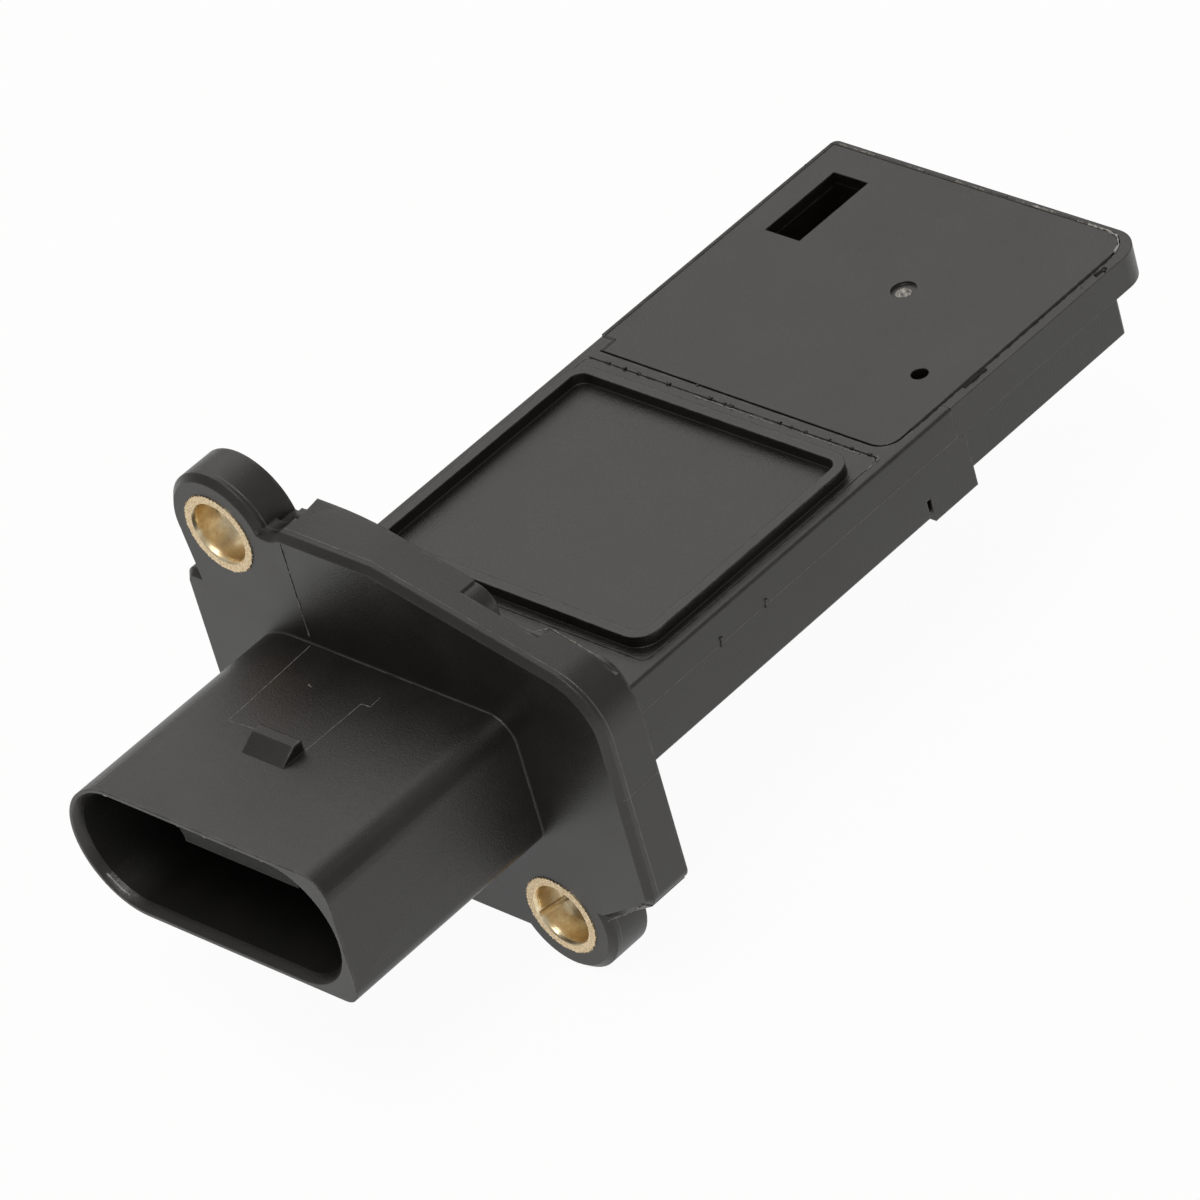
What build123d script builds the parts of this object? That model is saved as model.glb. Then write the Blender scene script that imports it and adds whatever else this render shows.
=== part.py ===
from build123d import *
import os
from math import cos, radians, sin, tan

# Plug-in mass airflow sensor. Millimetres.
# +Y is the way the probe goes into the air duct, +Z is the side with the lids, +X runs across the probe.
# The origin is midway between the two bolt holes, on the face that seats on the duct.

# Bolt ears: one above the left end of the plate, one below the right end
bolt_circle = 51.2
bolt_angle = 45.0
bushing_bore = 6.7
bushing_od = 9.0
bushing_proud = 0.1
bushing_lead_in = 0.4
ear_relief = 0.5
ear_relief_margin = 0.4
ear_wall = 2.4
ear_web_angle = 8.0
lower_web_angle = 15.0

# Flange plate
flange_thickness = 5.6
flange_half_height = 22.0
flange_flat = 1.0
flange_slope = 12.7
left_shoulder_width = 1.2
right_shoulder_width = 7.6
left_shoulder = 11.1
right_shoulder = 12.2
flange_corner_r = 7.0
flange_bend_r = 40.0
shoulder_r = 1.6
front_chamfer = 0.7
valley_r = 3.0
valley_depth = 2.2
valley_x = 10.9
valley_front_skin = 2.7
valley_skin_rise = 0.5
crown_fall = 1.1
scoop_start = 15.3
scoop_end = 22.9
scoop_depth = 2.1
scoop_roll_r = 2.4
back_set = 0.45

# Locating collar on the seating face, with the groove of the seal
collar_height = 2.6
collar_side = 3.8
collar_rise = 6.5
collar_corner_r = 3.5
seal_groove_start = 0.5
seal_groove_width = 1.6
seal_groove_depth = 1.0
seal_proud = 0.4
seal_side_gap = 0.05
seal_land_gap = 0.1

# Connector shroud, round at its left end and square at its right end
shroud_x = 0.2
shroud_z = -0.45
shroud_width = 38.3
shroud_height = 15.9
shroud_length = 27.4
shroud_upper_r = 3.0
shroud_lower_r = 2.2
shroud_wall = 1.1
socket_depth = 20.0
rib_height = 3.3
rib_setback = 1.2
rib_left = -3.0
rib_right = 13.0
latch_width = 5.8
latch_height = 1.3
latch_ramp = 2.1
latch_flat = 1.1
latch_setback = 11.1

# Contact blades
terminal_count = 5
terminal_pitch = 5.0
terminal_width = 2.8
terminal_thickness = 0.8
terminal_recess = 9.0
terminal_tip = 0.9
terminal_pad = 3.0

# Probe body
body_left = -18.7
body_right = 24.8
body_top = 5.4
body_bottom = -4.5
body_edge_r = 0.4
body_end = 55.0
left_wall_end = 48.9
cuff_start = 49.4
cuff_drop = 0.6
cuff_lip = 1.1
cuff_notch = 0.6
cuff_notch_depth = 1.0
cuff_notch_height = 2.3
parting_z = 1.6

# Electronics bay and its lid
lid_start = 9.3
lid_end = 45.3
lid_side = 1.35
lid_thickness = 1.5
lid_corner_r = 1.0
lid_gap = 0.05
lid_ledge = 1.0
bay_corner_r = 1.5
rim_side = 0.95
rim_near = 1.05
rim_far = 2.3
rim_width = 1.2
rim_height = 1.3
rim_corner_r = 2.6

# Measuring tip
tip_end = 86.7
tip_bottom = -5.1
tip_box_end = 83.4
tip_side_inset = 2.5
tip_corner_r = 3.6
tip_left_corner_r = 0.8
tip_box_edge_r = 0.6
tip_skin = 1.2
tongue_length = 5.7
tongue_side = 4.0
tongue_floor = 1.5
socket_gap = 0.1

# Flow cover
cover_start = 46.8
cover_thickness = 1.4
cover_right_margin = 1.6
cover_left_margin = 0.5
cover_end_margin = 0.7
cover_gap = 0.25
cover_near_r = 2.2
cover_far_r = 3.2
cover_step = 1.6
slot_left = -14.75
slot_width = 4.9
slot_end_wall = 4.7
slot_length = 11.25
vent_x = 17.85
vent_y = 58.2
vent_r = 0.95
gate_x = 6.5
gate_y = 68.85
gate_r = 1.4
gate_depth = 0.3

# Bypass duct inside the tip
duct_start_wall = 1.9
duct_wall = 1.4
duct_divider = 2.6
duct_turn_r = 5.0
inlet_setback = 2.3
inlet_clearance = 1.15
inlet_top = 1.3
ramp_rise = 5.0

# Parts inside the electronics bay
base_margin = 1.2
base_thickness = 1.0
board_margin = 2.2
board_thickness = 0.8
board_end = 39.0
carrier_x = 3.0
carrier_width = 8.0
carrier_start = 40.0
carrier_clearance = 2.65
carrier_gap = 0.1
sense_chip = (4.0, 3.0, 0.4)
sense_setback = 3.2
thermistor = (1.6, 0.8, 0.6)
thermistor_offset = 4.6
control_chip = (9.0, 9.0, 1.6)
regulator_chip = (4.0, 5.0, 1.5)
capacitor = (2.0, 1.25, 1.2)
capacitor_pitch = 4.0
capacitor_rows = 4
resistor = (1.6, 0.8, 0.5)
resistor_pitch = 2.4
resistor_rows = 6
ribbon_count = 4
ribbon_pitch = 1.6
ribbon_width = 0.8
ribbon_thickness = 0.2
ribbon_lap = 1.2

# Worked out from the sizes above
ear_offset = bolt_circle / 2 * cos(radians(bolt_angle))
ear_rise = bolt_circle / 2 * sin(radians(bolt_angle))
ear_r = bushing_od / 2 + ear_wall
flange_front = -flange_thickness
flange_left = ear_offset + ear_r + left_shoulder_width
flange_right = ear_offset + ear_r + right_shoulder_width
mouth = flange_front - shroud_length
socket_floor = mouth + socket_depth
shroud_top = shroud_z + shroud_height / 2
body_mid_x = (body_left + body_right) / 2
lid_left = body_left + lid_side
lid_right = body_right - lid_side
ledge_z = body_top - lid_thickness
bay_left = lid_left + lid_ledge
bay_right = lid_right - lid_ledge
bay_start = lid_start + lid_ledge
bay_end = lid_end - lid_ledge
pad_z = shroud_z - terminal_thickness / 2
board_bottom = pad_z - board_thickness
base_bottom = board_bottom - base_thickness
cover_bottom = body_top - cover_thickness
cover_right = body_right - cover_right_margin
cover_left = body_left + cover_left_margin
cover_end = tip_end - cover_end_margin
tongue_start = body_end - tongue_length
duct_bottom = tip_bottom + tip_skin
duct_right = body_right - tip_side_inset - duct_wall
duct_left = slot_left
duct_start = body_end + duct_start_wall
duct_end = tip_end - slot_end_wall
slot_start = duct_end - slot_length
leg_end = slot_start - duct_divider
inlet_start = duct_start + inlet_setback
inlet_end = leg_end - inlet_clearance
carrier_end = leg_end - carrier_clearance


def along_y(outline, start, end):
    """Extrude an outline drawn in X and Z from y = start to y = end."""
    return extrude(Plane.XZ.offset(-end) * outline, amount=end - start)


def along_z(outline, bottom, top):
    """Extrude an outline drawn in X and Y from z = bottom to z = top."""
    return extrude(Plane.XY.offset(bottom) * outline, amount=top - bottom)


def panel(low_a, high_a, low_b, high_b, radius=0.0):
    """A rectangle between two corners, with rounded corners where a radius is given."""
    middle = Pos((low_a + high_a) / 2, (low_b + high_b) / 2)
    if radius > 0:
        return middle * RectangleRounded(high_a - low_a, high_b - low_b, radius)
    return middle * Rectangle(high_a - low_a, high_b - low_b)


def block(x0, x1, y0, y1, z0, z1, radius=0.0):
    """A box between two corners, its upright edges rounded where a radius is given."""
    return along_z(panel(x0, x1, y0, y1, radius), z0, z1)


def component(size, x, y, z):
    """A small box standing at height z, centred on x and y."""
    return Pos(x, y, z + size[2] / 2) * Box(*size)


def near(shape, *places):
    """The vertices of a flat outline that lie nearest to the given places."""
    return [shape.vertices().sort_by_distance(Vector(*place, 0))[0] for place in places]


def half_turn(shape):
    """The same outline turned half a turn about the middle of the bolt pattern."""
    return Rot(0, 0, 180) * shape


def plate_outline():
    """The flange plate without its ears, seen from the connector side."""
    drop = tan(radians(flange_slope))
    right_top = flange_half_height - (flange_right + flange_flat) * drop
    left_low = -flange_half_height + (flange_left + flange_flat) * drop
    corners = [
        (-flange_left, left_shoulder),
        (-ear_offset, left_shoulder),
        (-ear_offset, flange_half_height),
        (-flange_flat, flange_half_height),
        (flange_right, right_top),
        (flange_right, -right_shoulder),
        (ear_offset, -right_shoulder),
        (ear_offset, -flange_half_height),
        (flange_flat, -flange_half_height),
        (-flange_left, left_low),
    ]
    plate = make_face(Polyline(*corners, close=True))
    plate = fillet(near(plate, (flange_right, right_top), (-flange_left, left_low)), flange_corner_r)
    plate = fillet(near(plate, (-flange_flat, flange_half_height)), flange_bend_r)
    plate = fillet(near(plate, (flange_flat, -flange_half_height)), flange_bend_r)
    return fillet(near(plate, (-flange_left, left_shoulder), (flange_right, -right_shoulder)), shoulder_r)


def web_outline(root):
    """The web from the upper ear down into the plate, tangent to the ear on its outer side."""
    side = radians(180 + ear_web_angle)
    touch_x = -ear_offset + ear_r * cos(side)
    touch_z = ear_rise + ear_r * sin(side)
    foot_x = touch_x + (touch_z - root) * tan(radians(ear_web_angle))
    inner = -ear_offset + bushing_od / 2
    corners = [(foot_x, root), (touch_x, touch_z), (inner, touch_z), (inner, root)]
    return make_face(Polyline(*corners, close=True))


def lower_web_outline():
    """The sloping web from the lower ear out to the plate's lower right corner."""
    side = radians(lower_web_angle)
    touch = (ear_offset + ear_r * cos(side), -ear_rise + ear_r * sin(side))
    root = ear_wall - right_shoulder
    corner = flange_right - shoulder_r / 2
    return make_face(Polyline((ear_offset, root), (corner, root), (corner, -right_shoulder), touch,
                              (ear_offset, touch[1]), close=True))


def bevelled(outline):
    """A plate of the flange's thickness with its front edge bevelled."""
    plate = along_y(outline, flange_front, 0)
    return chamfer(plate.faces().sort_by(Axis.Y)[0].outer_wire().edges(), front_chamfer)


def crown_cut():
    """What is cut away above the plate's flat top, which falls towards the front and ends in the bevel."""
    start = -ear_offset - ear_r
    bevel_start = flange_front + front_chamfer
    edge = flange_half_height - crown_fall
    over = flange_half_height + ear_r
    profile = Polyline(
        (0, flange_half_height),
        (bevel_start, edge),
        (flange_front, edge - front_chamfer),
        (flange_front, over),
        (0, over),
        close=True,
    )
    side = Plane(origin=(start, 0, 0), x_dir=(0, 1, 0), z_dir=(1, 0, 0))
    return extrude(side * make_face(profile), amount=flange_right - start)


def valley():
    """The round dip in the plate's top beside the upper ear, shallower and bevelled in its front skin."""
    middle_z = flange_half_height - valley_depth + valley_r
    back = along_y(Pos(-valley_x, middle_z) * Circle(valley_r), flange_front + valley_front_skin, 0)
    skin_z = middle_z + valley_skin_rise
    skin = along_y(Pos(-valley_x, skin_z) * Circle(valley_r), flange_front, flange_front + valley_front_skin)
    bevel = Cone(valley_r, valley_r + front_chamfer, front_chamfer)
    bevel_y = flange_front + front_chamfer / 2
    return back + skin + Pos(-valley_x, bevel_y, skin_z) * Rot(90, 0, 0) * bevel


def scoop():
    """The step cut into the back of the plate's sloping top, rolled over at its left end."""
    floor = body_top + collar_rise + shoulder_r
    top = flange_half_height + ear_r
    step = panel(scoop_start, scoop_end, floor, top)
    roll_x = scoop_start - scoop_roll_r
    edge_z = flange_half_height - (scoop_start - scoop_roll_r / 2 + flange_flat) * tan(radians(flange_slope))
    step += panel(roll_x, scoop_start, edge_z - scoop_roll_r, top)
    step -= Pos(roll_x, edge_z - scoop_roll_r) * Circle(scoop_roll_r)
    shelf = panel(scoop_start, flange_right, floor, top)
    return along_y(step, -scoop_depth, 0) + along_y(shelf, -back_set, 0)


def flange():
    """The plate with its two ears, the dip beside the upper ear and the scoop in its back."""
    ear = Pos(-ear_offset, ear_rise) * Circle(ear_r)
    solid = bevelled(plate_outline()) - crown_cut() - valley()
    solid += bevelled(ear) + bevelled(half_turn(ear))
    solid += bevelled(web_outline(left_shoulder - ear_wall))
    solid += bevelled(lower_web_outline())
    solid -= scoop()
    relief = Pos(-ear_offset, ear_rise) * Circle(ear_r + ear_relief_margin)
    return solid - along_y(relief + half_turn(relief), -ear_relief, 0)


def collar_outline(grow=0.0):
    """The rounded rectangle of the locating collar, seen along Y."""
    half_width = (body_right - body_left) / 2 + collar_side + grow
    half_height = (body_top - body_bottom) / 2 + collar_rise + grow
    middle = Pos(body_mid_x, (body_top + body_bottom) / 2)
    return middle * RectangleRounded(half_width * 2, half_height * 2, collar_corner_r + grow)


def collar():
    """The collar behind the flange, with the groove of its seal and a wider land at its foot."""
    solid = along_y(collar_outline(), 0, collar_height)
    solid += along_y(collar_outline(seal_proud + seal_land_gap), 0, seal_groove_start)
    groove_end = seal_groove_start + seal_groove_width
    groove = collar_outline() - collar_outline(-seal_groove_depth)
    return solid - along_y(groove, seal_groove_start, groove_end)


def seal_ring():
    """The rubber ring in the collar's groove, its outer edge rounded."""
    start = seal_groove_start + seal_side_gap
    end = seal_groove_start + seal_groove_width - seal_side_gap
    ring = along_y(collar_outline(seal_proud), start, end)
    crown = ring.edges().filter_by(Axis.Y, reverse=True)
    ring = fillet(crown, (end - start) * 0.35)
    return ring - along_y(collar_outline(-seal_groove_depth), start, end)


def shroud_outline(inset=0.0):
    """The shroud's outline: a half circle on the left, two unequal corners on the right."""
    left = shroud_x - shroud_width / 2
    right = shroud_x + shroud_width / 2
    top = shroud_z + shroud_height / 2
    bottom = shroud_z - shroud_height / 2
    round_x = left + shroud_height / 2
    body = panel(round_x, right, bottom, top)
    body = fillet(near(body, (right, top)), shroud_upper_r)
    body = fillet(near(body, (right, bottom)), shroud_lower_r)
    return body + Pos(round_x, shroud_z) * Circle(shroud_height / 2)


def socket_outline():
    """The plug cavity: both of its ends are half circles."""
    height = shroud_height - shroud_wall * 2
    return Pos(shroud_x, shroud_z) * SlotOverall(shroud_width - shroud_wall * 2, height)


def latch():
    """The ramp on top of the shroud that the plug's clip snaps over."""
    front = mouth + latch_setback
    profile = Polyline(
        (front, shroud_top),
        (front + latch_ramp, shroud_top + latch_height),
        (front + latch_ramp + latch_flat, shroud_top + latch_height),
        (front + latch_ramp + latch_flat, shroud_top),
        close=True,
    )
    side = Plane(origin=(shroud_x - latch_width / 2, 0, 0), x_dir=(0, 1, 0), z_dir=(1, 0, 0))
    return extrude(side * make_face(profile), amount=latch_width)


def shroud():
    """The connector shroud with its cavity and the polarising rib on the cavity's ceiling."""
    solid = along_y(shroud_outline(), mouth, flange_front) + latch()
    solid -= along_y(socket_outline(), mouth, min(socket_floor, flange_front))
    return solid


def polarising_rib():
    """The rib along the ceiling of the plug cavity."""
    ceiling = shroud_top - shroud_wall
    return block(rib_left, rib_right, mouth + rib_setback, socket_floor,
                 ceiling - rib_height, ceiling + shroud_wall / 2)


def terminal_x(index):
    return shroud_x + (index - (terminal_count - 1) / 2) * terminal_pitch


def terminal(index, tipped=True):
    """One contact blade, from its tapered end in the plug cavity to its pad on the circuit board."""
    x = terminal_x(index)
    half = terminal_width / 2
    start = mouth + terminal_recess
    end = bay_start + terminal_pad
    blade = block(x - half, x + half, start, end, pad_z, pad_z + terminal_thickness)
    if tipped:
        tip = blade.faces().sort_by(Axis.Y)[0].edges().filter_by(Axis.X)
        blade = chamfer(tip, terminal_thickness * 0.3, terminal_tip)
    return blade


def body_shell():
    """The probe's outer form with the cuff that grips the measuring tip."""
    solid = block(body_left, body_right, 0, body_end, body_bottom, body_top)
    solid = fillet(solid.edges().filter_by(Axis.Y), body_edge_r)
    solid += block(body_left, body_right, cuff_start, body_end, body_bottom - cuff_drop, parting_z)
    lip_end = body_end + cuff_lip
    for x0, x1 in (
        (body_left, body_left + tip_side_inset - socket_gap),
        (body_right - tip_side_inset + socket_gap, body_right),
    ):
        solid += block(x0, x1, body_end - cuff_lip, lip_end, body_bottom - cuff_drop, parting_z)
    return solid


def cuff_notches():
    """The two upright notches where the cuff begins."""
    low = body_bottom - cuff_drop
    high = body_bottom + cuff_notch_height
    start = cuff_start - cuff_notch
    right = block(body_right - cuff_notch_depth, body_right + 1, start, cuff_start, low, high)
    left = block(body_left - 1, body_left + cuff_notch_depth, start, cuff_start, low, high)
    return right + left


def bay():
    """The electronics bay with the stepped seat of its lid."""
    seat = block(lid_left - lid_gap, lid_right + lid_gap, lid_start - lid_gap, lid_end + lid_gap,
                 ledge_z, body_top, lid_corner_r)
    return seat + block(bay_left, bay_right, bay_start, bay_end, base_bottom, ledge_z, bay_corner_r)


def cover_outline(grow=0.0):
    """The flow cover seen from above, stepped back beside the left end of the body's wall."""
    left = cover_left - grow
    right = cover_right + grow
    start = cover_start - grow
    end = cover_end + grow
    step_x = cover_left + cover_step - grow
    step_y = left_wall_end - grow
    corners = [(step_x, start), (right, start), (right, end), (left, end), (left, step_y), (step_x, step_y)]
    outline = make_face(Polyline(*corners, close=True))
    outline = fillet(near(outline, (right, start)), cover_near_r + grow)
    return fillet(near(outline, (right, end)), cover_far_r + grow)


def tongue_block(gap=0.0):
    """The measuring tip's tongue, or with a gap the pocket that it plugs into."""
    left = body_left + tongue_side - gap
    right = body_right - tongue_side + gap
    floor = body_bottom + tongue_floor - gap
    return block(left, right, tongue_start - gap, body_end, floor, cover_bottom)


def carrier_block(gap=0.0):
    """The flow sensor's carrier, or with a gap the slot that it passes through."""
    half = carrier_width / 2 + gap
    return block(carrier_x - half, carrier_x + half, carrier_start - gap, carrier_end + gap,
                 board_bottom - gap, pad_z + gap)


def cheek(gap=0.0):
    """The stretch of the tip's left side that reaches back past the end of the body's left wall."""
    right = body_left + tip_side_inset + gap
    return block(body_left - gap, right, left_wall_end - gap, body_end, parting_z - gap, body_top)


def housing():
    """Flange, collar, connector shroud and probe body, moulded in one piece."""
    solid = flange() + collar() + shroud() + body_shell()
    solid += polarising_rib()
    solid -= bay()
    solid -= along_z(cover_outline(cover_gap), cover_bottom, body_top)
    solid -= tongue_block(socket_gap)
    solid -= cheek()
    solid -= carrier_block(carrier_gap)
    solid -= cuff_notches()
    for index in range(terminal_count):
        solid -= terminal(index, tipped=False)
    for sign in (-1, 1):
        hole = Pos(sign * ear_offset, -sign * ear_rise) * Circle(bushing_od / 2)
        solid -= along_y(hole, flange_front, 0)
    return solid


def bushing(sign):
    """The brass sleeve that takes a bolt's clamping force through one ear."""
    place = Pos(sign * ear_offset, -sign * ear_rise)
    ring = along_y(place * Circle(bushing_od / 2), flange_front - bushing_proud, 0)
    ring -= along_y(place * Circle(bushing_bore / 2), flange_front - bushing_proud, 0)
    mouth_edges = ring.faces().sort_by(Axis.Y)[0].inner_wires()[0].edges()
    return chamfer(mouth_edges, bushing_lead_in)


def electronics_cover():
    """The bonded lid of the electronics bay with its raised rim."""
    plate = block(lid_left, lid_right, lid_start, lid_end, ledge_z, body_top, lid_corner_r)
    x0 = lid_left + rim_side
    x1 = lid_right - rim_side
    y0 = lid_start + rim_near
    y1 = lid_end - rim_far
    rim = panel(x0, x1, y0, y1, rim_corner_r)
    rim -= panel(x0 + rim_width, x1 - rim_width, y0 + rim_width, y1 - rim_width, rim_corner_r - rim_width)
    return plate + along_z(rim, body_top, body_top + rim_height)


def flow_cover():
    """The plate over the bypass duct, with the air outlet, the vent and the moulding gate's mark."""
    plate = along_z(cover_outline(), cover_bottom, body_top)
    slot_right = slot_left + slot_width
    plate -= block(slot_left, slot_right, slot_start, slot_start + slot_length, cover_bottom, body_top)
    plate -= along_z(Pos(vent_x, vent_y) * Circle(vent_r), cover_bottom, body_top)
    return plate - along_z(Pos(gate_x, gate_y) * Circle(gate_r), body_top - gate_depth, body_top)


def duct():
    """The bypass passage: in from the left, round the end of the divider and back to the outlet slot."""
    passage = panel(duct_left, duct_right, duct_start, duct_end)
    turn = near(passage, (duct_right, duct_end))
    passage = fillet(turn, duct_turn_r)
    turn_left = duct_right - duct_turn_r - duct_divider
    divider = panel(duct_left, turn_left, leg_end, slot_start)
    divider += Pos(turn_left, (leg_end + slot_start) / 2) * Circle(duct_divider / 2)
    inlet = block(body_left, duct_left, inlet_start, inlet_end, duct_bottom, inlet_top)
    return along_z(passage - divider, duct_bottom, cover_bottom) + inlet


def outlet_ramp():
    """The curved floor that turns the air up into the outlet slot."""
    arc = CenterArc((duct_left + ramp_rise, duct_bottom + ramp_rise), ramp_rise, 180, 90)
    corner = (duct_left, duct_bottom)
    edges = [arc, Line(arc @ 1, corner), Line(corner, arc @ 0)]
    return along_y(make_face(edges), slot_start, duct_end)


def channel_base():
    """The measuring tip: its rim, the narrower box below, the duct and the tongue in the body."""
    rim = panel(body_left, body_right, body_end, tip_end)
    rim = fillet(near(rim, (body_right, tip_end)), tip_corner_r)
    rim = fillet(near(rim, (body_left, tip_end)), tip_left_corner_r)
    solid = along_z(rim, parting_z, body_top)
    left = body_left + tip_side_inset
    right = body_right - tip_side_inset
    lower = block(left, right, body_end, tip_box_end, tip_bottom, parting_z)
    lower = fillet(lower.faces().sort_by(Axis.Y)[-1].edges().filter_by(Axis.Z), tip_box_edge_r)
    solid += lower + tongue_block() + cheek()
    solid -= duct()
    solid += outlet_ramp()
    solid -= along_z(cover_outline(cover_gap), cover_bottom, body_top)
    return solid - carrier_block(carrier_gap)


def base_plate():
    """The metal plate on the bay's floor that carries the board and the flow sensor."""
    margin = base_margin
    return block(bay_left + margin, bay_right - margin, bay_start + margin, bay_end - margin,
                 base_bottom, board_bottom, bay_corner_r)


def circuit_board():
    margin = board_margin
    return block(bay_left + margin, bay_right - margin, bay_start + base_margin, board_end,
                 board_bottom, pad_z)


def rows(size, count, pitch, x, y):
    """A row of like components along X, standing on the board."""
    start = x - (count - 1) / 2 * pitch
    return [component(size, start + index * pitch, y, pad_z) for index in range(count)]


def ribbons():
    """The flat jumpers from the board to the sensor's carrier."""
    low = board_end - ribbon_lap
    high = carrier_start + ribbon_lap
    start = carrier_x - (ribbon_count - 1) / 2 * ribbon_pitch
    half = ribbon_width / 2
    return [
        block(x - half, x + half, low, high, pad_z, pad_z + ribbon_thickness)
        for x in (start + index * ribbon_pitch for index in range(ribbon_count))
    ]


def pieces():
    """Every sub-part by name."""
    board_mid = (bay_start + board_end) / 2
    sense_y = carrier_end - sense_setback
    capacitor_y = board_mid - capacitor_pitch
    resistor_y = board_end - ribbon_lap * 2
    parts = {
        "housing": housing(),
        "channel_base": channel_base(),
        "flow_cover": flow_cover(),
        "electronics_cover": electronics_cover(),
        "seal_ring": seal_ring(),
        "upper_bushing": bushing(-1),
        "lower_bushing": bushing(1),
        "base_plate": base_plate(),
        "circuit_board": circuit_board(),
        "control_chip": component(control_chip, body_mid_x, board_mid + control_chip[1] / 2, pad_z),
        "regulator_chip": component(regulator_chip, bay_left + control_chip[0], board_mid, pad_z),
        "capacitors": Compound(rows(capacitor, capacitor_rows, capacitor_pitch, body_mid_x, capacitor_y)),
        "resistors": Compound(rows(resistor, resistor_rows, resistor_pitch, body_mid_x, resistor_y)),
        "jumper_ribbons": Compound(ribbons()),
        "sensor_carrier": carrier_block(),
        "flow_sensing_chip": component(sense_chip, carrier_x, sense_y, pad_z),
        "thermistor_chip": component(thermistor, carrier_x, sense_y - thermistor_offset, pad_z),
    }
    for index in range(terminal_count):
        parts[f"terminal_{index + 1}"] = terminal(index)
    return parts


os.makedirs("parts", exist_ok=True)
for name, shape in pieces().items():
    export_step(shape, f"parts/{name}.step")
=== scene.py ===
# The mass airflow sensor as the eye sees it: finishes, brass sleeves, small moulding marks, light
# and camera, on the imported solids. Metres, in the same frame as the solids; marks are placed in mm.
import random
from math import atan2, pi, radians

import bmesh
import bpy
from mathutils import Matrix, Quaternion, Vector


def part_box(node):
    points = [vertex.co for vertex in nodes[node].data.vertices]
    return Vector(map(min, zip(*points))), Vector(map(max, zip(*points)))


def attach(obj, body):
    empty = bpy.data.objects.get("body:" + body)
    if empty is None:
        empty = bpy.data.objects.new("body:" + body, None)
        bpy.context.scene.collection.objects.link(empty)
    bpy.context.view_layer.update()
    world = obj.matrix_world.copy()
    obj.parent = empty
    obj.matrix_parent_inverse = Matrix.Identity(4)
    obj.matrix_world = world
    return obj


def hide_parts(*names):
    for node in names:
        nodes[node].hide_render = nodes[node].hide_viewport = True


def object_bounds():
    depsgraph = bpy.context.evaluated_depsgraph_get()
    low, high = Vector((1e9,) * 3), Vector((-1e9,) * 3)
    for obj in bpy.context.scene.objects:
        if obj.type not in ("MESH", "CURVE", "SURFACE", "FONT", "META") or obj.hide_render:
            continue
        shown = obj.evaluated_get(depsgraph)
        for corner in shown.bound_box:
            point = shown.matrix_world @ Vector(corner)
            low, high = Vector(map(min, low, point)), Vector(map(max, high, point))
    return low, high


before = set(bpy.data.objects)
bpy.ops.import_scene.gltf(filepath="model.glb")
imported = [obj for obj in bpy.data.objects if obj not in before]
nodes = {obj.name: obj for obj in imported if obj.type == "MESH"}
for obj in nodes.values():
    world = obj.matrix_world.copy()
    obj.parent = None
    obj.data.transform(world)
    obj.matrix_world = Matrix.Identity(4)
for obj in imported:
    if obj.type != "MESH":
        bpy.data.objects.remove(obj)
solid_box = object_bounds()
mm = 0.001


# Helpers

def linear(code):
    """An sRGB hex colour as the linear RGBA that a shader socket takes."""
    parts = [int(code[i:i + 2], 16) / 255 for i in (0, 2, 4)]
    return [p / 12.92 if p <= 0.04045 else ((p + 0.055) / 1.055) ** 2.4 for p in parts] + [1.0]


def add(tree, kind, feeds=None, out=0, **settings):
    """Adds a node, gives each named socket a value or another node's output, and returns one output."""
    made = tree.nodes.new(kind)
    for name, value in settings.items():
        setattr(made, name, value)
    for socket, value in (feeds or {}).items():
        if isinstance(value, bpy.types.NodeSocket):
            tree.links.new(value, made.inputs[socket])
        else:
            made.inputs[socket].default_value = value
    return made.outputs[out]


def new_finish(name):
    """An empty material, its node tree and its Principled shader."""
    finish = bpy.data.materials.new(name)
    finish.use_nodes = True
    return finish, finish.node_tree, finish.node_tree.nodes["Principled BSDF"]


# Finishes

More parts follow.
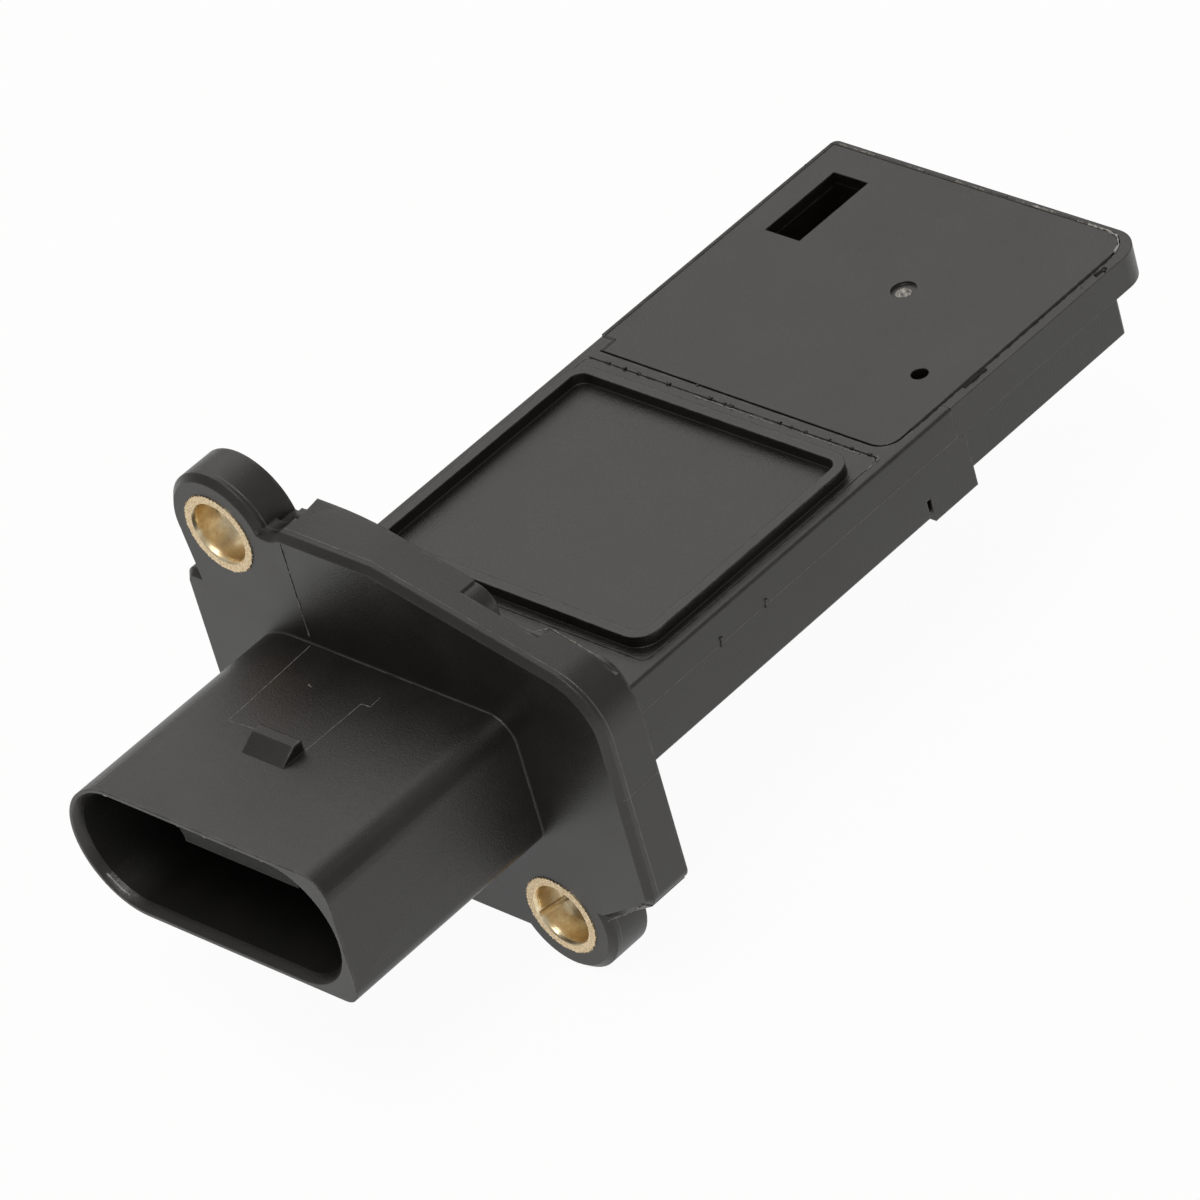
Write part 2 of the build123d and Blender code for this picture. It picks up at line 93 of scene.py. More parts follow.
def moulded_pbt(name, body, haze, gloss_low, gloss_high, partings=(), grain=0.2, wear=0.22, ior=1.62):
    """Glass-filled PBT from a spark-eroded mould: near black inside, and seen mostly by the satin sheen
    of its skin. It clouds from body to haze where fibres lie near the skin, and its outer edges are
    rubbed paler, by wear. A parting is the mould's split: an axis, its level, the half width of the
    raised line, and the y that it starts from. Partings and grain are in mm."""
    finish, tree, shader = new_finish(name)
    place = add(tree, "ShaderNodeTexCoord", out="Object")
    # the clouding is about 7.5 mm across, the rubbed patches 1.6 mm, the grain of the mould 0.2 mm
    cloud = add(tree, "ShaderNodeTexNoise", {"Vector": place, "Scale": 1 / (7.5 * mm), "Detail": 3.0,
                                             "Roughness": 0.55})
    skin = add(tree, "ShaderNodeTexNoise", {"Vector": place, "Scale": 1 / (grain * mm), "Detail": 2.0,
                                            "Roughness": 0.7})
    patch = add(tree, "ShaderNodeTexNoise", {"Vector": place, "Scale": 1 / (1.6 * mm), "Detail": 3.0,
                                             "Roughness": 0.7})
    # an outer edge is where there is little plastic round a point: there the skin is rubbed, in patches
    thick = add(tree, "ShaderNodeAmbientOcclusion", {"Distance": 0.4 * mm}, out="AO", samples=6,
                inside=True, only_local=True)
    thin = add(tree, "ShaderNodeMapRange", {"Value": thick, "From Min": 0.92, "From Max": 0.55})
    rubbed = add(tree, "ShaderNodeMapRange", {"Value": patch, "From Min": 0.42, "From Max": 0.68})
    edge = add(tree, "ShaderNodeMath", {0: thin, 1: rubbed}, operation="MULTIPLY")

    # each parting is a wavering line on the faces that stand along its axis
    split = 0.0
    facing = add(tree, "ShaderNodeNewGeometry", out="True Normal")
    waver = add(tree, "ShaderNodeMath", {0: patch, 1: 0.16 * mm, 2: -0.08 * mm},
                operation="MULTIPLY_ADD")
    depth = add(tree, "ShaderNodeSeparateXYZ", {0: place}, out="Y")
    for axis, level, half, start in partings:
        along = add(tree, "ShaderNodeSeparateXYZ", {0: place}, out=axis)
        swayed = add(tree, "ShaderNodeMath", {0: along, 1: waver}, operation="ADD")
        away = add(tree, "ShaderNodeMath", {0: swayed, 1: level * mm}, operation="SUBTRACT")
        apart = add(tree, "ShaderNodeMath", {0: away}, operation="ABSOLUTE")
        line = add(tree, "ShaderNodeMapRange", {"Value": apart, "From Min": half * mm,
                                                "From Max": 0.3 * half * mm})
        tilt = add(tree, "ShaderNodeSeparateXYZ", {0: facing}, out=axis)
        lean = add(tree, "ShaderNodeMath", {0: tilt}, operation="ABSOLUTE")
        side = add(tree, "ShaderNodeMapRange", {"Value": lean, "From Min": 0.5, "From Max": 0.3})
        begun = add(tree, "ShaderNodeMath", {0: depth, 1: start * mm}, operation="GREATER_THAN")
        on_side = add(tree, "ShaderNodeMath", {0: line, 1: side}, operation="MULTIPLY")
        shown = add(tree, "ShaderNodeMath", {0: on_side, 1: begun}, operation="MULTIPLY")
        split = add(tree, "ShaderNodeMath", {0: split, 1: shown}, operation="MAXIMUM")

    clouded = add(tree, "ShaderNodeMapRange", {"Value": cloud, "From Min": 0.35, "From Max": 0.7})
    base = add(tree, "ShaderNodeMix", {0: clouded, 6: linear(body), 7: linear(haze)}, 2,
               data_type="RGBA")
    pale = add(tree, "ShaderNodeMath", {0: edge, 1: wear}, operation="MULTIPLY")
    broken = add(tree, "ShaderNodeMapRange", {"Value": patch, "From Min": 0.3, "From Max": 0.7,
                                              "To Min": 0.04, "To Max": 0.3})
    raised = add(tree, "ShaderNodeMath", {0: split, 1: broken}, operation="MULTIPLY")
    lighter = add(tree, "ShaderNodeMath", {0: pale, 1: raised}, operation="MAXIMUM")
    colour = add(tree, "ShaderNodeMix", {0: lighter, 6: base, 7: linear("98958d")}, 2,
                 data_type="RGBA")
    tree.links.new(colour, shader.inputs["Base Color"])

    satin = add(tree, "ShaderNodeMapRange", {"Value": cloud, "From Min": 0.3, "From Max": 0.7,
                                             "To Min": gloss_low, "To Max": gloss_high})
    grained = add(tree, "ShaderNodeMath", {0: skin, 1: 0.2, 2: satin}, operation="MULTIPLY_ADD")
    tree.links.new(grained, shader.inputs["Roughness"])
    shader.inputs["IOR"].default_value = ior
    round_off = add(tree, "ShaderNodeBevel", {"Radius": 0.2 * mm}, samples=6)
    height = add(tree, "ShaderNodeMath", {0: split, 1: 0.8, 2: skin}, operation="MULTIPLY_ADD")
    # drawn half as deep again as the real grain, which would be too fine to show
    relief = add(tree, "ShaderNodeBump", {"Height": height, "Strength": 0.5, "Distance": 0.075 * mm,
                                          "Normal": round_off})
    tree.links.new(relief, shader.inputs["Normal"])
    return finish


def turned_brass(name):
    """A rolled and reamed brass sleeve: bright yellow with tool rings in the bore, and a pale, torn saw
    cut on the end faces."""
    finish, tree, shader = new_finish(name)
    place = add(tree, "ShaderNodeTexCoord", out="Object")
    along = add(tree, "ShaderNodeSeparateXYZ", {0: place}, out="Y")
    facing = add(tree, "ShaderNodeNewGeometry", out="True Normal")
    tilt = add(tree, "ShaderNodeSeparateXYZ", {0: facing}, out="Y")
    lean = add(tree, "ShaderNodeMath", {0: tilt}, operation="ABSOLUTE")
    end_face = add(tree, "ShaderNodeMapRange", {"Value": lean, "From Min": 0.8, "From Max": 0.95})
    # tool rings 0.22 mm apart along the bore, wandering a little
    wobble = add(tree, "ShaderNodeTexNoise", {"Vector": place, "Scale": 1 / (1.1 * mm), "Detail": 2.0})
    sway = add(tree, "ShaderNodeMath", {0: wobble, 1: 7.0}, operation="MULTIPLY")
    phase = add(tree, "ShaderNodeMath", {0: along, 1: 2 * pi / (0.22 * mm), 2: sway},
                operation="MULTIPLY_ADD")
    ring = add(tree, "ShaderNodeMath", {0: phase}, operation="SINE")
    # the saw cut's torn grain is 0.18 mm across
    torn = add(tree, "ShaderNodeTexNoise", {"Vector": place, "Scale": 1 / (0.18 * mm), "Detail": 2.0,
                                            "Roughness": 0.7})
    tarnish = add(tree, "ShaderNodeTexNoise", {"Vector": place, "Scale": 1 / (0.9 * mm), "Detail": 4.0,
                                               "Roughness": 0.65})
    dulled = add(tree, "ShaderNodeMapRange", {"Value": tarnish, "From Min": 0.42, "From Max": 0.72})
    bore = add(tree, "ShaderNodeMix", {0: dulled, 6: linear("f8e8c4"), 7: linear("dfc08c")}, 2,
               data_type="RGBA")
    share = add(tree, "ShaderNodeMapRange", {"Value": torn, "From Min": 0.36, "From Max": 0.62})
    cut = add(tree, "ShaderNodeMix", {0: share, 6: linear("ccb188"), 7: linear("fdebc8")}, 2,
              data_type="RGBA")
    colour = add(tree, "ShaderNodeMix", {0: end_face, 6: bore, 7: cut}, 2, data_type="RGBA")
    tree.links.new(colour, shader.inputs["Base Color"])
    shader.inputs["Metallic"].default_value = 1.0
    reamed = add(tree, "ShaderNodeMapRange", {"Value": tarnish, "From Min": 0.3, "From Max": 0.7,
                                              "To Min": 0.26, "To Max": 0.4})
    rough = add(tree, "ShaderNodeMapRange", {"Value": torn, "From Min": 0.3, "From Max": 0.7,
                                             "To Min": 0.42, "To Max": 0.6})
    dull = add(tree, "ShaderNodeMix", {0: end_face, 2: reamed, 3: rough})
    tree.links.new(dull, shader.inputs["Roughness"])
    fine = add(tree, "ShaderNodeMath", {0: ring, 1: 0.35, 2: tarnish}, operation="MULTIPLY_ADD")
    coarse = add(tree, "ShaderNodeMath", {0: torn, 1: 6.0}, operation="MULTIPLY")
    height = add(tree, "ShaderNodeMix", {0: end_face, 2: fine, 3: coarse})
    relief = add(tree, "ShaderNodeBump", {"Height": height, "Strength": 0.4, "Distance": 0.02 * mm})
    tree.links.new(relief, shader.inputs["Normal"])
    return finish


def plain_stock(name, low, high, patch, metallic, dull_low, dull_high, stretch=(1.0, 1.0, 1.0),
                relief=0.01):
    """A finish with two near tones in patches, duller where it is darker. The patch's size and the
    relief's depth are in mm; a stretch below 1 draws the patches out along that axis."""
    finish, tree, shader = new_finish(name)
    place = add(tree, "ShaderNodeTexCoord", out="Object")
    drawn = add(tree, "ShaderNodeMapping", {"Vector": place, "Scale": stretch})
    tone = add(tree, "ShaderNodeTexNoise", {"Vector": drawn, "Scale": 1 / (patch * mm), "Detail": 4.0,
                                            "Roughness": 0.6})
    share = add(tree, "ShaderNodeMapRange", {"Value": tone, "From Min": 0.35, "From Max": 0.68})
    colour = add(tree, "ShaderNodeMix", {0: share, 6: linear(low), 7: linear(high)}, 2,
                 data_type="RGBA")
    tree.links.new(colour, shader.inputs["Base Color"])
    shader.inputs["Metallic"].default_value = metallic
    dull = add(tree, "ShaderNodeMapRange", {"Value": tone, "From Min": 0.3, "From Max": 0.7,
                                            "To Min": dull_high, "To Max": dull_low})
    tree.links.new(dull, shader.inputs["Roughness"])
    bump = add(tree, "ShaderNodeBump", {"Height": tone, "Strength": 0.4, "Distance": relief * mm})
    tree.links.new(bump, shader.inputs["Normal"])
    return finish


# near black satin, with a thin pale line where the mould splits, round the flange's edge and along the
# probe's sides, and a thin pale ring round the shroud's root that is a painted highlight on the fillet
# there; a line that starts before_all of the part runs all along it
before_all = -40.0
partings_and_root_highlight = (("Y", -4.35, 0.1, before_all), ("Z", 1.8, 0.08, -5.1), ("Y", -5.72, 0.09, before_all))
housing_finish = moulded_pbt("moulded_glass_filled_pbt", "16130f", "1e1b17", 0.22, 0.3, partings_and_root_highlight)
# the tip is a moulding of its own, hardly handled: the same satin black, with edges that stay dark
tip_finish = moulded_pbt("moulded_pbt_probe_tip", "16130f", "1d1a16", 0.22, 0.29, wear=0.08)
# the lid comes from a finer, polished mould: smoother, with a clearer sheen
lid_finish = moulded_pbt("moulded_pbt_smooth_lid", "14110d", "1b1814", 0.18, 0.24, grain=0.16,
                         wear=0.15)
# brass strip, rolled, knurled and reamed: warm yellow, shiny in the bore and dull on the sawn ends
brass_finish = turned_brass("turned_brass_sleeve")
# inside the socket the mould's core was eroded coarser, so the plastic is matt there; its colour is
# also darker, as painted shade deep in the socket
socket_finish_with_painted_shade = moulded_pbt("coarse_eroded_pbt_socket_painted_shade", "070604", "0c0a07", 0.46, 0.55, grain=0.3,
                            wear=0.05, ior=1.34)
# flash torn off at the mould's split: the plastic whitened by stress, matt
flash_finish = plain_stock("stress_whitened_flash", "4c4a46", "96938b", 0.3, 0.0, 0.5, 0.7, relief=0.03)
# burrs sheared off: pale grey where the plastic has torn; the same pale grey also paints a highlight on
# the mouth's lead-in bevel
burr_and_glint_finish = plain_stock("sheared_pbt_burr_and_painted_glint", "7c7b78", "c6c3bc", 0.25, 0.0, 0.34, 0.5, relief=0.03)
# painted shade for the open gap: a near black strip, with hardly a sheen, that stands in for the shade
# down in it
gap_shade_finish = plain_stock("painted_gap_shade", "0b0a09", "141210", 0.4, 0.0, 0.75, 0.9, relief=0.02)
# the lid's bonding glue where it was squeezed out: cured black, with a wet gloss; the same black is
# painted shade in the groove of the flange's witness line
glue_and_shade_finish = plain_stock("cured_black_adhesive_and_painted_shade", "0c0c0b", "171615", 0.5, 0.0, 0.2, 0.34, relief=0.02)
# black nitrile rubber, moulded: near black, soft sheen
rubber_finish = plain_stock("moulded_nitrile_rubber", "161616", "202020", 0.8, 0.0, 0.5, 0.62)
# tin plate over stamped bronze: pale, slightly streaked along the blade
tin_finish = plain_stock("tin_plated_bronze_blade", "b9b6ae", "d8d6d0", 0.5, 1.0, 0.22, 0.38,
                         (1.0, 0.15, 1.0))
# rolled aluminium plate: satin, streaked along the rolling direction
aluminium_finish = plain_stock("rolled_aluminium_plate", "b4b5b6", "cdcecf", 0.6, 1.0, 0.28, 0.4,
                               (1.0, 0.1, 1.0))
# ceramic board with green glaze over the traces
board_finish = plain_stock("green_glazed_circuit_board", "1e4a2c", "2a6139", 1.4, 0.0, 0.2, 0.3)
# transfer-moulded epoxy packages: dark grey, matt
epoxy_finish = plain_stock("moulded_epoxy_package", "2a2a2c", "38383a", 0.2, 0.0, 0.55, 0.7)
# fired ceramic chips: tan, slightly grainy
ceramic_finish = plain_stock("fired_ceramic_chip", "a9885c", "c4a576", 0.15, 0.0, 0.35, 0.5)
# polished silicon: dark blue grey, nearly a mirror
silicon_finish = plain_stock("polished_silicon_die", "4a4d5c", "5a5e70", 2.0, 1.0, 0.08, 0.14,
                             relief=0.001)

finish_of = {
    "housing": housing_finish, "channel_base": tip_finish, "flow_cover": tip_finish,
    "electronics_cover": lid_finish, "seal_ring": rubber_finish,
    "upper_bushing": brass_finish, "lower_bushing": brass_finish,
    "base_plate": aluminium_finish, "circuit_board": board_finish,
    "control_chip": epoxy_finish, "regulator_chip": epoxy_finish, "resistors": epoxy_finish,
    "capacitors": ceramic_finish, "thermistor_chip": ceramic_finish,
    "jumper_ribbons": tin_finish, "sensor_carrier": aluminium_finish,
    "flow_sensing_chip": silicon_finish,
    "terminal_1": tin_finish, "terminal_2": tin_finish, "terminal_3": tin_finish,
    "terminal_4": tin_finish, "terminal_5": tin_finish,
}
for name, finish in finish_of.items():
    for slot in nodes[name].material_slots:
        slot.material = finish


# Pieces made from meshes

def piece(name, shape, finish):
    """A finished mesh as an object of the part, riding with it."""
    mesh = bpy.data.meshes.new(name)
    shape.to_mesh(mesh)
    shape.free()
    mesh.materials.append(finish)
    made = bpy.data.objects.new(name, mesh)
    bpy.context.scene.collection.objects.link(made)
    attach(made, "root")
    return made


def shade_by_angle(shape):
    """Shades a mesh smooth, but for the edges that bend by 28 degrees or more."""
    for edge in shape.edges:
        edge.smooth = edge.calc_face_angle(0.0) < radians(28)
    for face in shape.faces:
        face.smooth = True


def with_rims(faces):
    """Faces with their edges and vertices, as a cut by a plane takes them."""
    return faces + list({e for f in faces for e in f.edges}) + list({v for f in faces for v in f.verts})


# Brass sleeves

def knurled_sleeve(name, node, seam_at, seam_twist):
    """A rolled and knurled brass sleeve in its bushing's place: teeth round the outside, a worn lead-in
    at the front, a shallow step in the bore, and the groove where the strip's ends meet. The groove
    starts at seam_at degrees round the axis and turns by seam_twist degrees per mm."""
    low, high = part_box(node)
    middle = Vector(((low[0] + high[0]) / 2, 0.0, (low[2] + high[2]) / 2))
    front, back = low[1], high[1]
    outer = (high[0] - low[0]) / 2
    bore = 3.35 * mm
    wide_bore = bore + 0.06 * mm
    steps = 128
    # radius and y: the outside, the wider rear half of the bore, the bore, and the lead-in
    profile = [(outer, front), (outer, back), (wide_bore, back), (wide_bore, -2.5 * mm),
               (bore, -2.6 * mm), (bore, front + 0.9 * mm), (bore + 0.1 * mm, front + 0.4 * mm),
               (bore + 0.24 * mm, front + 0.08 * mm), (bore + 0.34 * mm, front)]
    shape = bmesh.new()
    start = [shape.verts.new((middle.x + r, y, middle.z)) for r, y in profile]
    rim = [shape.edges.new((start[i - 1], start[i])) for i in range(len(start))]
    bmesh.ops.spin(shape, geom=start + rim, cent=middle, axis=(0, 1, 0), angle=2 * pi, steps=steps,
                   use_merge=True)
    bmesh.ops.recalc_face_normals(shape, faces=shape.faces)
    # teeth 0.44 mm apart, bitten unevenly; the strip's ends leave a groove two columns wide
    chance = random.Random(5)
    seam = round(seam_at / 360 * steps)
    for vert in shape.verts:
        arm = Vector((vert.co.x - middle.x, vert.co.z - middle.z))
        column = round(atan2(arm.y, arm.x) / (2 * pi) * steps) % steps
        grown = arm.length
        if arm.length > outer - 0.01 * mm:
            grown += (chance.uniform(0.08, 0.24) if column % 2 else chance.uniform(-0.05, 0.05)) * mm
        elif arm.length < bore + 0.2 * mm and column in (seam, (seam + 1) % steps):
            grown += 0.4 * mm
        spot = arm * grown / arm.length
        spot.rotate(Matrix.Rotation(radians(seam_twist) * (vert.co.y - front) / mm, 2))
        vert.co.x = middle.x + spot.x
        vert.co.z = middle.z + spot.y
    shade_by_angle(shape)
    made = piece(name, shape, brass_finish)
    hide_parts(node)


knurled_sleeve("upper_sleeve", "upper_bushing", 60, 1.0)
knurled_sleeve("lower_sleeve", "lower_bushing", 196, 2.4)


# The housing with the fine forms of its connector mouth

shape = bmesh.new()
shape.from_mesh(nodes["housing"].data)
bmesh.ops.remove_doubles(shape, verts=shape.verts, dist=0.0005 * mm)
tiny = 0.001 * mm
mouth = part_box("housing")[0][1]
# the polarising rib's front slopes back by 0.55 mm, down to an upright land along its lower edge
rib_front = mouth + 1.2 * mm
land_top = 3.7 * mm
rib_faces = [f for f in shape.faces if all(abs(v.co.y - rib_front) < tiny for v in f.verts)]
bmesh.ops.bisect_plane(shape, geom=with_rims(rib_faces), plane_co=(0, 0, land_top), plane_no=(0, 0, 1))
for vert in shape.verts:
    if abs(vert.co.y - rib_front) < tiny and vert.co.z < land_top + 0.01 * mm:
        vert.co.y += 0.55 * mm
# a pocket 0.2 mm deep, left between two bevels above the lower ear, is closed
for vert in shape.verts:
    x, y, z = vert.co / mm
    if 17.3 < x < 18.9 and -11.96 < z < -11.48 and -5.6 < y < -5.3:
        vert.co.y = -5.6 * mm
# a lead-in bevel round the inner edge of the mouth leaves a lip 0.4 mm wide
socket_x, socket_z = 0.2, -0.45
bevel_depth, bevel_width = 0.95 * mm, 0.7 * mm
at_lip = [f for f in shape.faces if min(v.co.y for v in f.verts) < mouth + tiny]
bmesh.ops.bisect_plane(shape, geom=with_rims(at_lip), plane_co=(0, mouth + bevel_depth, 0),
                       plane_no=(0, 1, 0))
shape.normal_update()
lip = {}
for vert in shape.verts:
    if vert.co.y < mouth + tiny:
        walls = [f.normal for f in vert.link_faces if abs(f.normal.y) < 0.3]
        inward = sum(walls, Vector()).normalized()
        if inward.dot(vert.co - Vector((socket_x * mm, vert.co.y, socket_z * mm))) < 0:
            lip[vert] = inward
for vert, inward in lip.items():
    vert.co -= inward * bevel_width
shade_by_angle(shape)
# the socket's inside has the second finish, with its painted shade: its section is two flats of this
# half length and round ends
half_flat, end_radius = 11.2, 7.2
socket_front, socket_back = -32.1, -12.9
for face in shape.faces:
    x, y, z = face.calc_center_median() / mm
    past_flat = max(abs(x - socket_x) - half_flat, 0.0)
    inside = past_flat ** 2 + (z - socket_z) ** 2 < end_radius ** 2
    face.material_index = inside and socket_front < y < socket_back
dressed_housing = piece("dressed_housing", shape, housing_finish)
dressed_housing.data.materials.append(socket_finish_with_painted_shade)
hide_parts("housing")


# Moulding marks: raised lines half sunk in the skin, a little uneven in line and thickness

def raised_line(name, finish, seed, thick, uneven, runs, step=0.45):
    """Thin raised lines, as a mould's split, torn flash and squeezed-out glue leave them. A run is the
    corners it passes, thick the line's half width and step the distance between its points, all in mm.
    uneven is the share it swells and thins by."""
    chance = random.Random(seed)
    curve = bpy.data.curves.new(name, "CURVE")
    curve.dimensions = "3D"
    curve.bevel_depth = thick * mm
    curve.bevel_resolution = 1
    curve.use_fill_caps = True
    for corners in runs:
        stops = []
        for begin, end in zip(corners, corners[1:]):
            begin, end = Vector(begin), Vector(end)
            count = max(1, round((end - begin).length / step))
            stops += [begin.lerp(end, i / count) for i in range(count)]
        stops.append(Vector(corners[-1]))
        line = curve.splines.new("POLY")
        line.points.add(len(stops) - 1)
        for point, stop in zip(line.points, stops):
            stop += Vector([chance.uniform(-0.3, 0.3) * thick * uneven for _ in range(3)])
            point.co = (*(stop * mm), 1.0)
            point.radius = 1.0 + uneven * chance.uniform(-0.7, 1.0)
    made = bpy.data.objects.new(name, curve)
    bpy.context.scene.collection.objects.link(made)
    curve.materials.append(finish)
    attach(made, "root")


# the level of the body's upper face
top = 5.4
# the inserts of the mould's latch and shroud meet on the shroud's top
raised_line("shroud_witness_lines", flash_finish, 3, 0.045, 0.4, [
    [(-8.3, -6.1, 7.49), (-7.6, -18.8, 7.49), (-4.2, -18.5, 7.49)],
    [(3.2, -18.7, 7.49), (3.3, -10.6, 7.49), (4.5, -10.5, 7.49), (4.4, -9.0, 7.49)],
])
# a dot near the flange and one beside the latch's ramp
raised_line("shroud_small_marks", flash_finish, 13, 0.12, 0.3, [
    [(-4.0, -10.75, 7.42), (-3.4, -10.95, 7.42)], [(-3.2, -18.9, 7.42), (-2.9, -18.9, 7.42)],
])
# glue squeezed out along the far seam of the lid, in beads
bead_at = (-14.5, -12.2, -10.1, -5.9, 0.0, 2.0, 3.0, 9.7, 11.3, 13.3, 16.5, 19.6, 22.1)
raised_line("lid_seam_glue", glue_and_shade_finish, 4, 0.08, 0.6, [
    [(-17.2, 45.33, top), (6.0, 45.33, top)], [(7.5, 45.33, top), (23.3, 45.33, top)],
])
raised_line("lid_seam_beads", glue_and_shade_finish, 8, 0.22, 0.4, [
    [(x - 0.2, 45.36, top - 0.04), (x + 0.2, 45.38, top - 0.04)] for x in bead_at
], 0.25)
# pale flash beside the seam: a blob at each end and a scuffed stretch on the right
raised_line("lid_seam_flash", flash_finish, 21, 0.07, 0.9, [
    [(-17.6, 45.5, top), (-17.2, 45.35, top)],
    [(22.9, 45.5, top), (23.5, 45.3, top), (23.55, 43.2, top)],
    [(-2.0, 45.0, top - 0.03), (10.0, 44.95, top - 0.03)],
    [(13.0, 45.0, top - 0.03), (21.0, 45.0, top - 0.03)],
])
# the recess's wall is peened over the cover's left edge and its end, so no gap shows there
raised_line("cover_edge_fill", tip_finish, 15, 0.17, 0.12, [
    [(-16.7, 46.75, top - 0.1), (-16.7, 48.75, top - 0.1), (-18.33, 48.78, top - 0.1),
     (-18.33, 86.12, top - 0.1), (20.0, 86.12, top - 0.1), (21.7, 85.7, top - 0.1)],
])
# flash torn along the cover's far edge and worn bright at the right corner
raised_line("cover_flash", flash_finish, 6, 0.09, 1.0, [
    [(-17.8, 86.2, top), (-12.5, 86.2, top)], [(-8.0, 86.2, top), (-5.5, 86.2, top)],
    [(-1.0, 86.2, top), (3.0, 86.2, top)], [(7.5, 86.2, top), (13.0, 86.2, top)],
    [(16.0, 86.1, top), (19.8, 86.1, top)],
])
raised_line("cover_corner_burr", burr_and_glint_finish, 29, 0.1, 0.9, [
    [(9.8, 86.2, top), (12.6, 86.2, top)],
    [(17.5, 86.1, top), (19.9, 86.1, top), (21.6, 85.75, top), (22.8, 84.7, top), (23.25, 83.4, top)],
])
# burrs along the mouth's inner edge, left by the core, and a painted highlight along the lead-in bevel
# at the lower left
raised_line("mouth_burrs_and_painted_glint", burr_and_glint_finish, 31, 0.09, 0.6, [
    [(-11.7, -32.9, 7.08), (-11.2, -32.9, 7.08)], [(-1.5, -32.9, 7.08), (-0.9, -32.9, 7.08)],
    [(2.5, -32.9, 7.08), (2.9, -32.9, 7.08)], [(6.4, -32.9, 7.08), (7.2, -32.9, 7.08)],
    [(10.6, -32.9, 7.08), (11.0, -32.9, 7.08)],
    # painted highlight: the glint along the lower left of the lead-in bevel
    [(-16.34, -32.5, -5.25), (-15.52, -32.5, -6.03), (-14.59, -32.5, -6.67), (-13.69, -32.5, -7.11)],
])
# small dark nicks in the edges round the cover
raised_line("cover_edge_nicks", glue_and_shade_finish, 7, 0.14, 0.5, [
    [(-18.6, 81.6, top - 0.05), (-18.6, 81.8, top - 0.05)],
    [(3.4, 86.25, top - 0.06), (3.9, 86.25, top - 0.06)],
    [(5.3, 86.25, top - 0.06), (6.1, 86.25, top - 0.06)],
    [(13.8, 86.2, top - 0.06), (14.9, 86.2, top - 0.06)],
    [(24.2, 80.4, top - 0.06), (24.5, 80.3, top - 0.06)],
    [(23.8, 77.2, top - 0.08), (24.1, 77.0, top - 0.08)],
    [(-3.0, 46.6, top - 0.05), (-2.7, 46.5, top - 0.05)],
])
# painted shade along the open gap at the cover's right edge, wider where its rim has torn out
raised_line("cover_right_gap_shade", gap_shade_finish, 27, 0.27, 0.22, [
    [(23.38, 50.5, top - 0.17), (23.38, 82.6, top - 0.17)],
])
raised_line("cover_right_tear_shade", gap_shade_finish, 28, 0.36, 0.2, [
    [(23.75, 58.4, top - 0.2), (23.8, 61.8, top - 0.2)],
    [(24.0, 79.3, top - 0.2), (24.15, 80.8, top - 0.2)],
])
# two nicks on the probe's side, where the mould's halves were pried apart
raised_line("side_nicks", housing_finish, 33, 0.16, 0.5, [
    [(24.8, 18.0, 1.45), (24.78, 18.25, 2.5)], [(24.8, 24.85, 1.5), (24.78, 25.1, 2.4)],
])
# flash on the lower web's front edge, below the witness line and on the worn edge of the shelf
raised_line("flange_flash", flash_finish, 9, 0.06, 0.8, [
    [(25.2, -5.57, -16.1), (28.4, -5.57, -13.9), (31.6, -5.52, -11.6)],
    [(-8.6, -5.6, 13.0), (-8.6, -5.6, 8.2)],
    [(22.1, -1.75, 16.82), (22.95, -0.45, 16.62), (25.5, -0.45, 16.04), (28.4, -0.45, 15.3)],
])
# painted shade in the groove of an insert's witness line, down the flange's front
raised_line("flange_witness_line_shade", glue_and_shade_finish, 10, 0.05, 0.5, [
    [(-8.6, -5.6, 20.0), (-8.6, -5.6, 16.6)], [(-8.6, -5.6, 16.2), (-8.6, -5.6, 13.2)],
])
# one round drip of plastic where the ear meets the flange's bevel
raised_line("flange_drip", housing_finish, 12, 0.4, 0.1, [
    [(-12.0, -5.2, 20.2), (-11.85, -5.2, 20.35)],
], 0.1)


# The moulding gate's torn stub in its dimple, off its middle as the knife left it

stub_at = (6.6 * mm, 68.6 * mm, 5.22 * mm)
shape = bmesh.new()
bmesh.ops.create_cone(shape, cap_ends=True, segments=22, radius1=0.95 * mm, radius2=0.45 * mm,
                      depth=0.3 * mm)
bmesh.ops.bevel(shape, geom=shape.edges, offset=0.08 * mm, segments=2, affect="EDGES", profile=0.5,
                material=-1)
chance = random.Random(2)
for vert in shape.verts:
    if vert.co.z > 0:
        vert.co += Vector([chance.uniform(-0.09, 0.09) * mm for _ in range(3)])
bmesh.ops.translate(shape, verts=shape.verts, vec=stub_at)
piece("gate_stub", shape, burr_and_glint_finish)


# Stage: pale floor, white surround, soft lamps, camera

pure_white = (1.0, 1.0, 1.0, 1.0)
# a matt, pale paper: a soft shadow under the part and no glare
floor_finish, tree, shader = new_finish("pale_studio_floor")
shader.inputs["Base Color"].default_value = linear("f4f4f2")
shader.inputs["Roughness"].default_value = 0.8
eye = add(tree, "ShaderNodeLightPath", out="Is Camera Ray")
glint = add(tree, "ShaderNodeLightPath", out="Is Glossy Ray")
through = add(tree, "ShaderNodeLightPath", out="Is Transmission Ray")
either = add(tree, "ShaderNodeMath", {0: glint, 1: through}, operation="MAXIMUM")
seen = add(tree, "ShaderNodeMath", {0: eye, 1: either}, operation="MAXIMUM")
# the camera sees a nearly white floor that keeps a faint shadow, and reflections see it a little darker
white_share = add(tree, "ShaderNodeMapRange", {"Value": eye, "To Min": 0.74, "To Max": 0.95})
share = add(tree, "ShaderNodeMath", {0: seen, 1: white_share}, operation="MULTIPLY")
white = add(tree, "ShaderNodeEmission", {"Color": pure_white, "Strength": 1.0})
floor_mix = add(tree, "ShaderNodeMixShader", {0: share, 1: shader.outputs[0], 2: white})
tree.links.new(floor_mix, tree.nodes["Material Output"].inputs["Surface"])

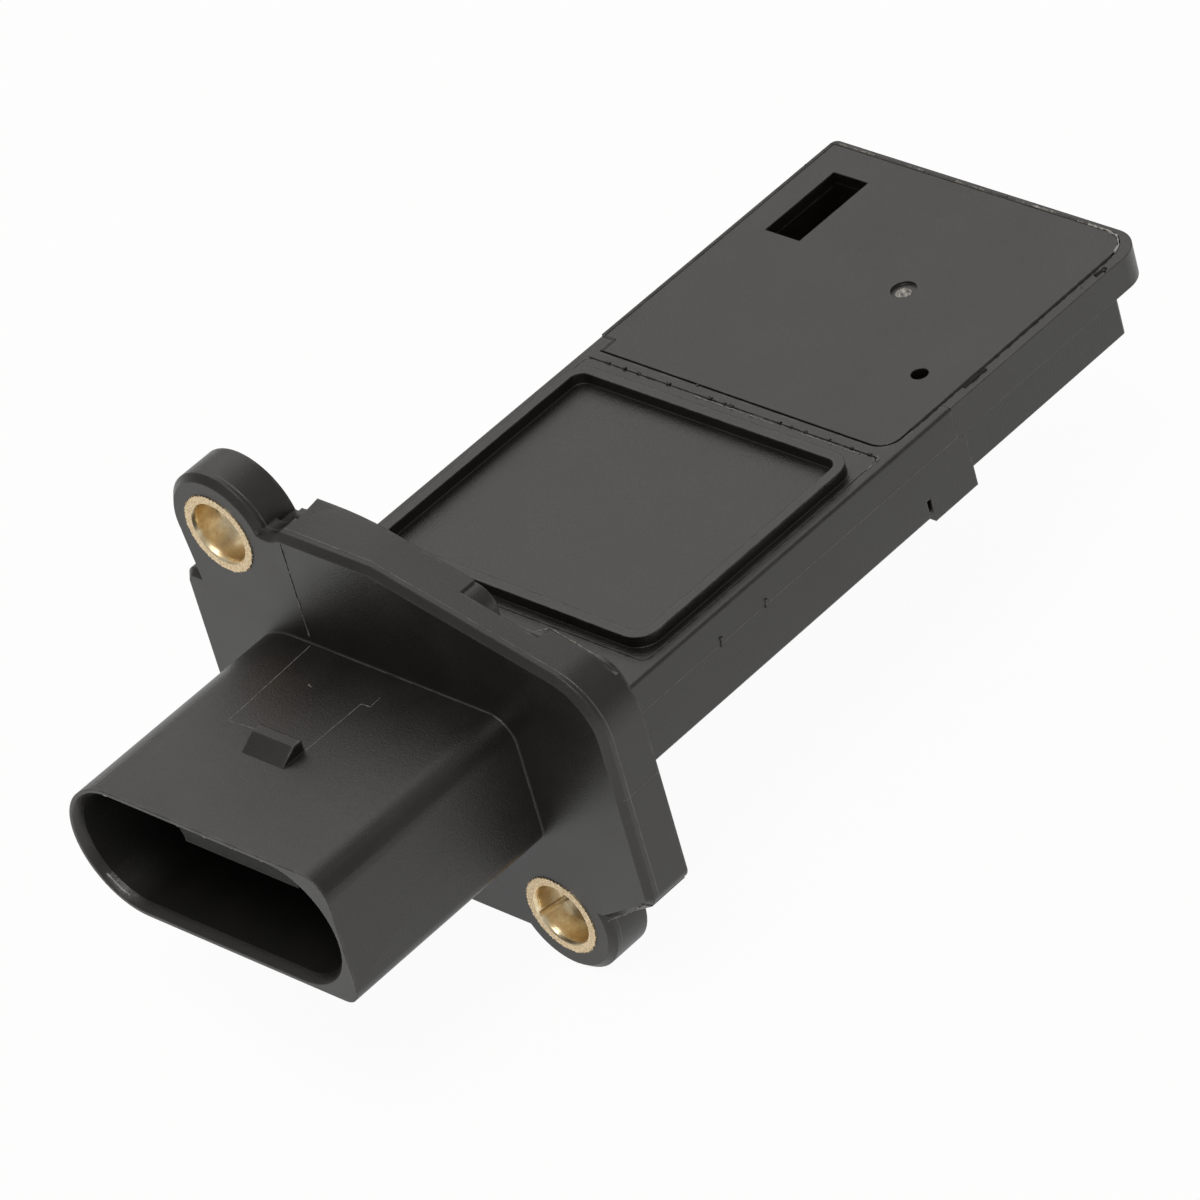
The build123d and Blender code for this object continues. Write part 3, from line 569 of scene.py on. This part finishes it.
floor_shape = bmesh.new()
bmesh.ops.create_grid(floor_shape, x_segments=1, y_segments=1, size=3.0)
bmesh.ops.translate(floor_shape, verts=floor_shape.verts, vec=(0.0, 0.0, solid_box[0][2]))
floor_mesh = bpy.data.meshes.new("floor")
floor_shape.to_mesh(floor_mesh)
floor_shape.free()
floor_mesh.materials.append(floor_finish)
floor = bpy.data.objects.new("floor", floor_mesh)
bpy.context.scene.collection.objects.link(floor)

surround = bpy.data.worlds.new("light_tent")
surround.use_nodes = True
bpy.context.scene.world = surround
tree = surround.node_tree
eye = add(tree, "ShaderNodeLightPath", out="Is Camera Ray")
through = add(tree, "ShaderNodeLightPath", out="Is Transmission Ray")
seen = add(tree, "ShaderNodeMath", {0: eye, 1: through}, operation="MAXIMUM")
# white to the camera, and a soft tent for the light
glow = add(tree, "ShaderNodeMapRange", {"Value": seen, "To Min": 0.38, "To Max": 1.0})
tree.nodes["Background"].inputs["Color"].default_value = pure_white
tree.links.new(glow, tree.nodes["Background"].inputs["Strength"])


def soft_lamp(name, place, size, power):
    """A square soft lamp, a little warm, at a place in metres, aimed at the middle of the object."""
    lamp = bpy.data.objects.new(name, bpy.data.lights.new(name, "AREA"))
    lamp.data.size = size
    lamp.data.energy = power
    lamp.data.color = (1.0, 0.975, 0.935)
    lamp.location = place
    lamp.rotation_mode = "QUATERNION"
    lamp.rotation_quaternion = (Vector((0.0, 0.03, 0.0)) - lamp.location).to_track_quat("-Z", "Y")
    bpy.context.scene.collection.objects.link(lamp)


# the large softbox stands behind the probe's left side: the lids shine and the front bevels stay dark
soft_lamp("rear_left_softbox", (-0.68, 0.5, 0.86), 1.15, 3.35)
soft_lamp("overhead_fill", (0.3, -0.35, 1.1), 0.6, 5.0)

# lens, place, aim and roll were solved from the photo's straight edges
roll = Quaternion((0.0, 0.0, 1.0), radians(-16.235))
camera = bpy.data.objects.new("photo_camera", bpy.data.cameras.new("photo_camera"))
camera.data.lens = 245.685
camera.data.sensor_width = 36.0
camera.data.clip_end = 20.0
camera.location = (0.534909, -0.392563, 0.482111)
look = Vector((0.0, 0.0243, -0.00578)) - camera.location
camera.rotation_mode = "QUATERNION"
camera.rotation_quaternion = look.to_track_quat("-Z", "Y") @ roll
bpy.context.scene.collection.objects.link(camera)
bpy.context.scene.camera = camera
bpy.context.scene.view_settings.view_transform = "Standard"
